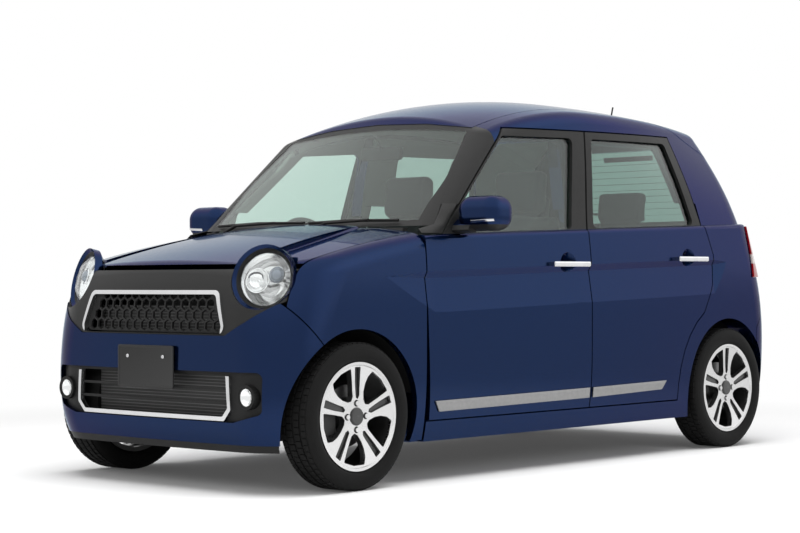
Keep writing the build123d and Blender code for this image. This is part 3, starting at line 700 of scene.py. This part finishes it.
# %% [markdown]
# Satin silver strips of nearly even height run along the bottom of the doors. Each is laid on its own door
# so that it opens with it.

# %% Door strips
def silver_satin():
    finish = Finish("silver_satin_strip")
    brushed = finish.noise(70.0, 3.0)
    tone = finish.mix(brushed, grey(0.22), grey(0.29))
    return finish.done(finish.surface(Base_Color=tone, Metallic=0.9, Roughness=0.30 + 0.14 * brushed))


silver = silver_satin()
FRONT_STRIP = ((0.812, 0.276), (-0.158, 0.286), (-0.158, 0.330), (0.838, 0.320))
REAR_STRIP = ((-0.182, 0.286), (-0.700, 0.298), (-0.735, 0.338), (-0.182, 0.330))
for side, k in SIDES:
    for end, corners in (("front", FRONT_STRIP), ("rear", REAR_STRIP)):
        settle(clad("door_" + end + "_" + side, corners, 2 * k, 0.007, edge=0.0025),
               "door_strip_" + end + "_" + side, silver, end + "_door_" + side)
print("door strips", 4)

# %% [markdown]
# At the foot of each windscreen pillar the CAD body is open, so a moulded black cover closes the corner
# between screen, door and fender. A grid is laid through five rows, each given by its rear and front end,
# and bulges like the pillar above. A wall is then grown inwards.

# %% Pillar feet
# height, rear x, rear y, front x, front y
FOOT_ROWS = (
    (1.103, 0.647, 0.6795, 0.706, 0.6510),
    (1.060, 0.690, 0.6885, 0.742, 0.6615),
    (1.018, 0.732, 0.6975, 0.784, 0.6760),
    (0.998, 0.752, 0.7015, 0.880, 0.6800),
    (0.981, 0.769, 0.7050, 0.884, 0.7000))
FOOT_BULGE = 0.008


def pillar_foot(k):
    start_clean()
    spans = len(FOOT_ROWS) - 1
    bpy.ops.mesh.primitive_grid_add(x_subdivisions=10, y_subdivisions=spans, size=1.0)
    piece = bpy.context.object
    for vertex in piece.data.vertices:
        u = vertex.co.x + 0.5
        z, x0, y0, x1, y1 = FOOT_ROWS[round((vertex.co.y + 0.5) * spans)]
        bulge = FOOT_BULGE * 4 * u * (1 - u)
        vertex.co = (x0 + (x1 - x0) * u, k * (y0 + (y1 - y0) * u + bulge), z)
    inward = sum(face.normal[1] * k for face in piece.data.polygons) < 0
    grow_wall(piece, 0.004, 1.0 if inward else -1.0)
    faces_outward()
    round_edges(piece, 0.0012)
    return piece


for side, k in SIDES:
    settle(pillar_foot(k), "pillar_foot_" + side, trim_black, "shell")
print("pillar feet", 2)

# %% [markdown]
# The front plate stays blank: a pressed sheet with a raised rim and two screws. The photograph shows no
# other plate, so none is made for the rear.

# %% Blank front plate
def plate_sheet():
    finish = Finish("blank_plate")
    grain = finish.noise(220.0)
    return finish.done(finish.surface(Base_Color=finish.mix(grain, grey(0.018), grey(0.026)),
                                      Roughness=0.35 + 0.15 * grain, Specular_IOR_Level=0.2))


SCREW = [(0.0075, 0.0), (0.0075, 0.003), (0.0060, 0.005), (0.0035, 0.005), (0.0030, 0.003), (0.0001, 0.003)]
nose_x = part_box("front_bumper")[1][0]
settle(slab((nose_x + 0.001, -0.165, 0.383), (nose_x + 0.006, 0.165, 0.548), 1, 0.010, 0.008, 0.0016),
       "plate_front", plate_sheet(), "shell")
for side, k in reversed(SIDES):
    settle(lathe(SCREW, (nose_x + 0.0045, 0.105 * k, 0.505), (1, 0, 0), 24),
           "plate_screw_front_" + side, bright, "shell")
print("plate pieces", 3)

# %% [markdown]
# Behind each round lens sits a projector on the outer side, with a bright collar, and a small bowl with
# its bulb on the inner side. Both look along the lamp's own axis.

# %% Headlamp insides
def mirror_chrome():
    finish = Finish("lamp_reflector")
    haze = finish.noise(120.0)
    rough = 0.04 + 0.06 * haze
    return finish.done(finish.surface(Base_Color=grey(0.86), Metallic=1.0, Roughness=rough))


def dome_glass():
    finish = Finish("projector_glass")
    ripple = finish.noise(260.0)
    return finish.done(finish.surface(Base_Color=(0.16, 0.19, 0.23, 1), Metallic=0.6,
                                      Roughness=0.03 + 0.03 * ripple,
                                      Coat_Weight=1.0, Coat_Roughness=0.0))


COLLAR = [(0.026, -0.064), (0.028, -0.040), (0.032, -0.030), (0.034, -0.018), (0.032, -0.015),
          (0.028, -0.018), (0.0265, -0.022)]
DOME = [(0.0268, -0.023), (0.025, -0.014), (0.019, -0.007), (0.011, -0.003), (0.0001, -0.002)]
SIDE_BOWL = [(0.048, -0.022), (0.045, -0.023), (0.040, -0.032), (0.027, -0.046), (0.009, -0.053),
             (0.008, -0.042), (0.006, -0.037), (0.0001, -0.035)]


reflector = mirror_chrome()
dome = dome_glass()
for side, k in SIDES:
    ahead = Vector((cos(LAMP_YAW), k * sin(LAMP_YAW), 0.0))
    upright = Vector((0.0, 0.0, 1.0))
    aim = cos(LAMP_PITCH) * ahead + sin(LAMP_PITCH) * upright
    out = Vector((-sin(LAMP_YAW), k * cos(LAMP_YAW), 0.0))
    up = cos(LAMP_PITCH) * upright - sin(LAMP_PITCH) * ahead
    middle = Vector((LAMP[0], k * LAMP[1], LAMP[2]))
    eye = middle + out * 0.044 + up * 0.016
    settle(lathe(COLLAR, eye, aim), "projector_collar_" + side, reflector, "shell")
    settle(lathe(DOME, eye, aim), "projector_dome_" + side, dome, "shell")
    inner = middle - out * 0.036 - up * 0.004
    settle(lathe(SIDE_BOWL, inner, aim), "side_bowl_" + side, reflector, "shell")
print("lamp insides", 6)

# %% [markdown]
# Each fog lamp gets a bright bowl, a black ring and a domed glass, turned round the lamp's own axis.

# %% Fog lamps
FOG = (1.652, 0.535, 0.364)
FORWARD = (1, 0, 0)
FOG_BOWL = [(0.0325, 0.0165), (0.030, 0.016), (0.024, 0.010), (0.012, 0.0065), (0.0001, 0.006)]
FOG_RING = [(0.0392, 0.006), (0.0392, 0.019), (0.036, 0.021), (0.0327, 0.019), (0.0327, 0.006)]
FOG_DOME = [(0.0325, 0.0175), (0.025, 0.0215), (0.013, 0.0245), (0.0001, 0.0255)]
for side, k in SIDES:
    spot = (FOG[0], k * FOG[1], FOG[2])
    settle(lathe(FOG_BOWL, spot, FORWARD), "fog_bowl_" + side, reflector, "shell")
    settle(lathe(FOG_RING, spot, FORWARD), "fog_ring_" + side, trim_black, "shell")
    settle(lathe(FOG_DOME, spot, FORWARD), "fog_dome_" + side, lens_clear, "shell")
print("fog lamp pieces", 6)

# %% [markdown]
# Door mirrors get their glass on the flat rear face and a bright turn-lamp strip laid on the front.

# %% Mirror glass and strips
for side, k in SIDES:
    door = "front_door_" + side
    rear_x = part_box("door_mirror_" + side)[0][0]
    ys = sorted((k * 0.740, k * 0.890))
    settle(slab((rear_x - 0.0022, ys[0], 1.012), (rear_x + 0.001, ys[1], 1.108), -1, 0.034, 0.003, 0.0006),
           "mirror_glass_" + side, reflector, door)
    corners = [(k * y, z) for y, z in ((0.800, 1.021), (0.905, 1.027), (0.905, 1.036), (0.800, 1.032))]
    settle(clad("door_mirror_" + side, corners, 1, 0.003, (16, 2)),
           "mirror_strip_" + side, bright, door)
print("mirror pieces", 4)

# %% [markdown]
# The tyre is turned again with a lower tread floor, and four rows of tread blocks stand on it. For each row
# one block is modelled and spun round the axle, and alternate rows lag by half a block.

# %% Tyres with tread
TREAD_FLOOR = 0.2752
SIDEWALL = [(0.197, 0.0610), (0.203, 0.0622), (0.2070, 0.0635), (0.2105, 0.0690), (0.2150, 0.0755),
            (0.2230, 0.0795), (0.2340, 0.0820), (0.2450, 0.0823), (0.2560, 0.0808), (0.2660, 0.0775),
            (0.2720, 0.0720), (0.2755, 0.0665)]
BLOCK_ROWS = ((-0.0535, 0.022, 0.0), (-0.0185, 0.028, 0.5), (0.0185, 0.028, 0.0), (0.0535, 0.022, 0.5))
PITCHES = 66


def tread_ring():
    start_clean()
    made = []
    for row, width, lag in BLOCK_ROWS:
        bpy.ops.mesh.primitive_cube_add(size=1.0, location=(0, 0, 0))
        block = bpy.context.object
        block.scale = (2 * pi * WHEEL_Z / PITCHES - 0.0035, width, 0.0068)
        block.location = (0, row, 0.2775)
        bpy.ops.object.transform_apply(location=True, rotation=True, scale=True)
        chamfer = block.modifiers.new("chamfer", "BEVEL")
        chamfer.width = 0.0011
        chamfer.segments = 1
        bpy.ops.object.modifier_apply(modifier="chamfer")
        bpy.ops.object.mode_set(mode="EDIT")
        bpy.ops.mesh.select_all(action="SELECT")
        turn = lag * 2 * pi / PITCHES
        bpy.ops.transform.rotate(value=turn, orient_axis="Y", center_override=(0, 0, 0))
        bpy.ops.mesh.spin(steps=PITCHES, dupli=True, angle=2 * pi, center=(0, 0, 0), axis=(0, 1, 0))
        bpy.ops.object.mode_set(mode="OBJECT")
        made.append(block)
        start_clean()
    for block in made:
        block.select_set(True)
    bpy.context.view_layer.objects.active = made[0]
    bpy.ops.object.join()


outline = SIDEWALL + [(TREAD_FLOOR, 0.062), (TREAD_FLOOR, -0.062)]
outline += [(r, -h) for r, h in reversed(SIDEWALL)]
carcass = lathe(outline + [(0.197, -0.05), (0.197, 0.05), (0.197, 0.061)], (0, 0, 0), (0, 1, 0), 96)
bpy.ops.object.transform_apply(location=True, rotation=True, scale=True)
tread_ring()
carcass.select_set(True)
bpy.context.view_layer.objects.active = carcass
bpy.ops.object.join()
master = bpy.context.object
for end, axle in AXLES.items():
    for side, k in SIDES:
        copy = master.copy()
        copy.data = master.data.copy()
        bpy.context.scene.collection.objects.link(copy)
        copy.location = (axle, k * WHEEL_Y, WHEEL_Z)
        node = "tyre_" + end + "_" + side
        settle(copy, "tyre_with_tread_" + end + "_" + side, nodes[node].data.materials[0],
               end + "_wheel_" + side)
        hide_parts(node)
bpy.data.objects.remove(master)
print("tyres", 4)

# %% [markdown]
# The inside mirror shows through the windscreen: a rounded plate on a turned stem.

# %% Inside mirror
STEM = [(0.016, 0.0), (0.012, 0.006), (0.006, 0.012), (0.006, 0.060), (0.010, 0.066), (0.0001, 0.068)]
settle(slab((0.352, -0.115, 1.318), (0.378, 0.115, 1.376), -1, 0.020, 0.004, 0.001),
       "inside_mirror", trim_black, "shell")
settle(lathe(STEM, (0.372, 0.0, 1.365), (0.55, 0, 0.83), 20),
       "inside_mirror_stem", trim_black, "shell")
print("inside mirror pieces", 2)

# %% [markdown]
# The dashboard gets a hood over the instruments, a centre panel and round vents, all seen through the
# windscreen. Each starts as a bevelled plate or a turned ring set into the dash.

# %% Dashboard details
VENT = [(0.030, 0.006), (0.040, 0.012), (0.043, 0.006), (0.043, -0.03), (0.036, -0.03), (0.034, -0.004),
        (0.028, -0.006), (0.006, -0.004), (0.0001, -0.004)]
settle(slab((0.612, -0.475, 0.950), (0.735, -0.190, 1.012), -1, 0.028, 0.010, 0.030, 0.003),
       "instrument_hood", dash_grey, "shell")
settle(slab((0.586, -0.125, 0.800), (0.640, 0.125, 0.945), -1, 0.022, 0.006, 0.003),
       "centre_panel", trim_black, "shell")
for n, vent_y in enumerate((-0.555, 0.205, 0.555)):
    settle(lathe(VENT, (0.604, vent_y, 0.905), (-0.98, 0, 0.18), 32),
           "dash_vent_" + str(n), trim_black, "shell")
print("dashboard pieces", 5)

# %% [markdown]
# The rear isn't in the portrait. As on most cars of the type, the tailgate carries a handle bar,
# a wiper on the glass and a high stop lamp. They ride on it and open with it.

# %% Tailgate pieces
BAR = ((-0.30, 0.930), (0.30, 0.930), (0.29, 0.968), (-0.29, 0.968))
WIPER = ((0.012, 1.098), (-0.30, 1.130), (-0.30, 1.140), (0.012, 1.118))
WIPER_CAP = ((-0.022, 1.090), (0.022, 1.090), (0.022, 1.126), (-0.022, 1.126))
STOP_LAMP = ((-0.15, 1.392), (0.15, 1.392), (0.15, 1.416), (-0.15, 1.416))
settle(clad("tailgate", BAR, -1, 0.014, (20, 3), 0.004),
       "tailgate_handle_bar", silver, "tailgate_lid")
settle(clad("tailgate_glass", WIPER, -1, 0.012, (16, 2)),
       "rear_wiper", trim_black, "tailgate_lid")
settle(clad("tailgate_glass", WIPER_CAP, -1, 0.020, (4, 4), 0.006),
       "rear_wiper_cap", trim_black, "tailgate_lid")
settle(clad("tailgate_glass", STOP_LAMP, -1, 0.008, (16, 2)),
       "high_stop_lamp", red, "tailgate_lid")
print("tailgate pieces", 4)

# %% [markdown]
# The picture is a cut-out on white. Near the car the floor is a pale lit surface that keeps the shadow.
# Farther out it turns to plain white, but only for rays that are seen, mirrored or passed through glass, so
# the white adds no light to the car.

# %% Floor
SEEN = ("Is Camera Ray", "Is Glossy Ray", "Is Transmission Ray")


def rays(finish, *kinds):
    total = 0.0
    for kind in kinds:
        total = finish.node("ShaderNodeLightPath", {}, {}, kind) + total
    return total > 0.5


start_clean()
bpy.ops.mesh.primitive_plane_add(size=60.0, location=(0, 0, 0))
floor = bpy.context.object
floor.name = "floor"
ground = Finish("studio_floor")
lit = ground.node("ShaderNodeBsdfDiffuse", {}, {"Color": grey(0.80)})
glow = ground.node("ShaderNodeEmission", {}, {"Color": grey(1.0), "Strength": 1.0})
fx, fy, fz = ground.axes()
away = ground.rise((fx * fx + fy * fy).root(), 2.2, 4.6)
whiten = (0.06 + 0.94 * away) * rays(ground, *SEEN)
floor.data.materials.append(ground.done(ground.join(whiten, lit, glow)))
print("floor", floor.name)

# %% [markdown]
# The world lights the car softly and is white to the camera and through glass. In reflections it is up to
# twice as bright, above and on a wall to the rear left, so that upper panels shine more than lower ones.

# %% World
class Sky(Finish):
    """The world's node tree, written the same way."""
    def __init__(self, name):
        self.world = bpy.data.worlds.new(name)
        self.world.use_nodes = True
        self.tree = self.world.node_tree
        self.tree.nodes.clear()
        self.place = self.node("ShaderNodeTexCoord", {}, {}, "Generated")

    def done(self, shader):
        output = self.tree.nodes.new("ShaderNodeOutputWorld")
        self.tree.links.new(shader.socket, output.inputs[0])
        return self.world


WALL_WAY = (-0.70, 0.69, 0.18)
WALL_GAIN = 0.6
TOP_GAIN = 0.4
sky = Sky("studio_white")
dx, dy, dz = sky.axes()
towards = WALL_WAY[0] * dx + WALL_WAY[1] * dy + WALL_WAY[2] * dz
wall = sky.rise(dz, -0.03, 0.08) * sky.rise(towards, 0.55, 0.95)
lift = WALL_GAIN * wall + TOP_GAIN * sky.rise(dz, 0.12, 0.55)
strength = 1.0 + lift * rays(sky, "Is Glossy Ray")
white = sky.node("ShaderNodeBackground", {}, {"Color": grey(1.0), "Strength": strength})
soft = sky.node("ShaderNodeBackground", {}, {"Color": grey(1.0), "Strength": 0.36})
bpy.context.scene.world = sky.done(sky.join(rays(sky, *SEEN), soft, white))
print("world", sky.world.name)

# %% [markdown]
# Three area lamps: a broad one overhead and two weak ones in front and at the left. They don't show in
# reflections, where their hard outlines would look unlike the photograph.

# %% Lamps
def softbox(name, spot, aim, size, power):
    lamp = bpy.data.lights.new(name, "AREA")
    lamp.shape = "RECTANGLE"
    lamp.size = size[0]
    lamp.size_y = size[1]
    lamp.energy = power
    holder = bpy.data.objects.new(name, lamp)
    bpy.context.scene.collection.objects.link(holder)
    holder.location = spot
    holder.visible_glossy = False
    holder.rotation_euler = (Vector(aim) - Vector(spot)).to_track_quat("-Z", "Y").to_euler()


softbox("overhead", (0.4, 0.6, 4.6), (0.0, 0.0, 0.6), (6.5, 4.5), 460.0)
softbox("front_fill", (5.5, 1.5, 2.6), (0.6, 0.2, 0.7), (2.5, 1.6), 50.0)
softbox("side_fill", (0.5, 6.0, 2.4), (0.0, 0.0, 0.7), (4.0, 1.4), 40.0)
print("lamps", len(bpy.data.lights))

# %% [markdown]
# The camera stands where the photograph's did, found by matching the car's known points, with a long
# lens that looks almost level from the front left corner.

# %% Camera
CAMERA_SPOT = (6.445, 5.721, 0.795)
CAMERA_YAW = 222.73
CAMERA_PITCH = 0.41
CAMERA_ROLL = -0.19
CAMERA_LENS = 85.86

camera_data = bpy.data.cameras.new("portrait")
camera_data.lens = CAMERA_LENS
camera_data.sensor_width = 36.0
camera = bpy.data.objects.new("portrait", camera_data)
bpy.context.scene.collection.objects.link(camera)
level = cos(radians(CAMERA_PITCH))
yaw = radians(CAMERA_YAW)
gaze = Vector((level * cos(yaw), level * sin(yaw), sin(radians(CAMERA_PITCH))))
roll = Matrix.Rotation(radians(CAMERA_ROLL), 4, "Z")
turn = gaze.to_track_quat("-Z", "Y").to_matrix().to_4x4() @ roll
camera.matrix_world = Matrix.Translation(CAMERA_SPOT) @ turn
bpy.context.scene.camera = camera
bpy.context.scene.view_settings.view_transform = "Standard"
print("camera", camera.name)
